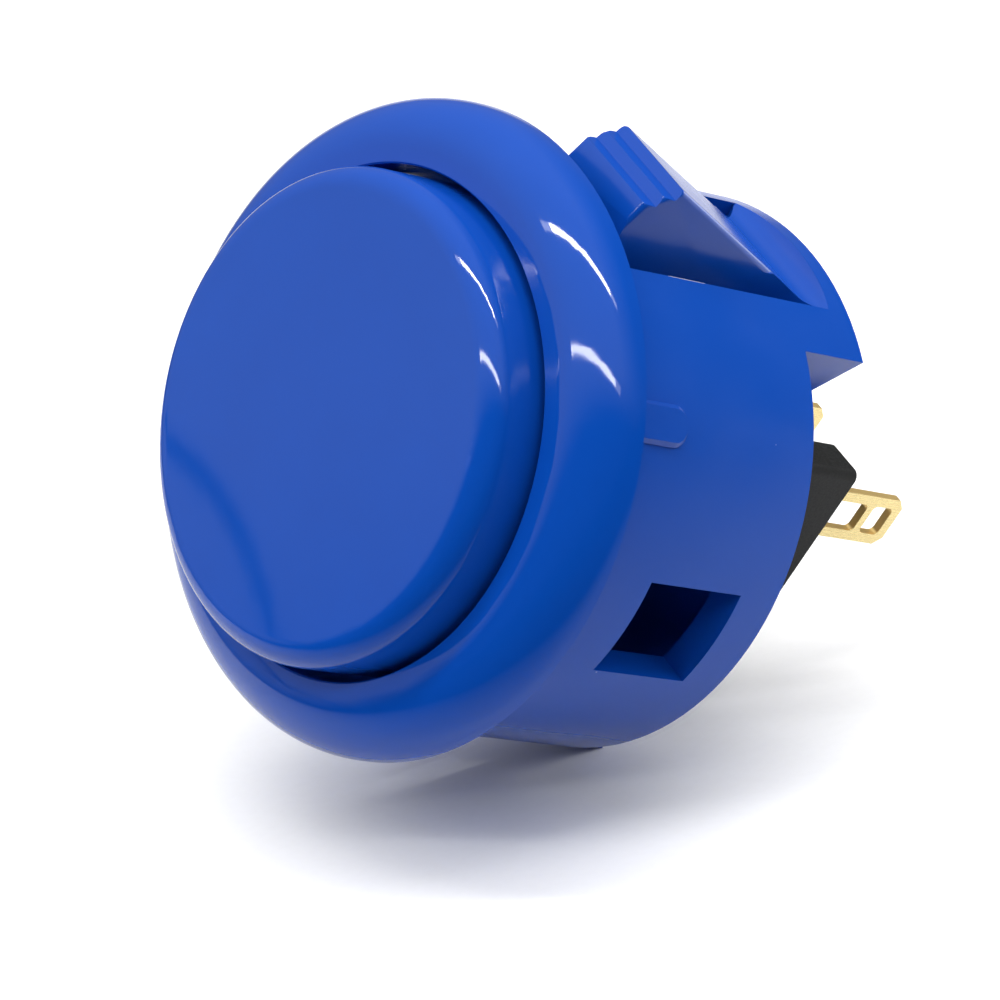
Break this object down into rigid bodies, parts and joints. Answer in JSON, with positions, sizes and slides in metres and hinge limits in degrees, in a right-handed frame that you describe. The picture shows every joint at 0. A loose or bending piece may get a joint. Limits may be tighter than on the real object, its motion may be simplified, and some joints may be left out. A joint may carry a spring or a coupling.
{
  "type": "arcade push button",
  "caption": "Round snap-in push button with a domed plunger, ridged snap arms on the barrel, and a plug-in switch with blade terminals.",
  "frame": {"origin": "on the press axis at the rim's underside, in the plane of the panel's face", "axes": "+Z along the press axis, out of the panel towards the finger; +X towards one snap arm; the hook windows face +Y and -Y"},
  "size_m": [0.0358, 0.0332, 0.038],
  "materials": {
    "housing_plastic": "moulded, glossy",
    "plunger_plastic": "moulded, glossy",
    "switch_plastic": "moulded, matt",
    "actuator_plastic": "moulded, matt",
    "contact_metal": "rolled strip",
    "spring_steel": "drawn wire",
    "terminal_gold": "stamped, gold plated"
  },
  "bodies": {
    "housing": {"housing": "housing_plastic", "switch_case": "switch_plastic", "switch_cover": "switch_plastic", "return_spring": "spring_steel", "terminal_common": "terminal_gold", "terminal_open": "terminal_gold"},
    "plunger": {"plunger": "plunger_plastic"},
    "actuator": {"switch_actuator": "actuator_plastic", "contact_bridge": "contact_metal"}
  },
  "joints": [
    {"name": "plunger_press", "type": "slide", "parent": "housing", "child": "plunger", "axis": [0, 0, 1], "range_m": [-0.0028, 0], "stiffness_N_per_m": 200, "springref_m": 0.003},
    {"name": "actuator_press", "type": "slide", "parent": "housing", "child": "actuator", "axis": [0, 0, 1], "range_m": [-0.0028, 0], "deforming": ["return_spring"]}
  ],
  "couplings": [
    {"joint": "actuator_press", "follows": "plunger_press", "ratio": 1}
  ]
}
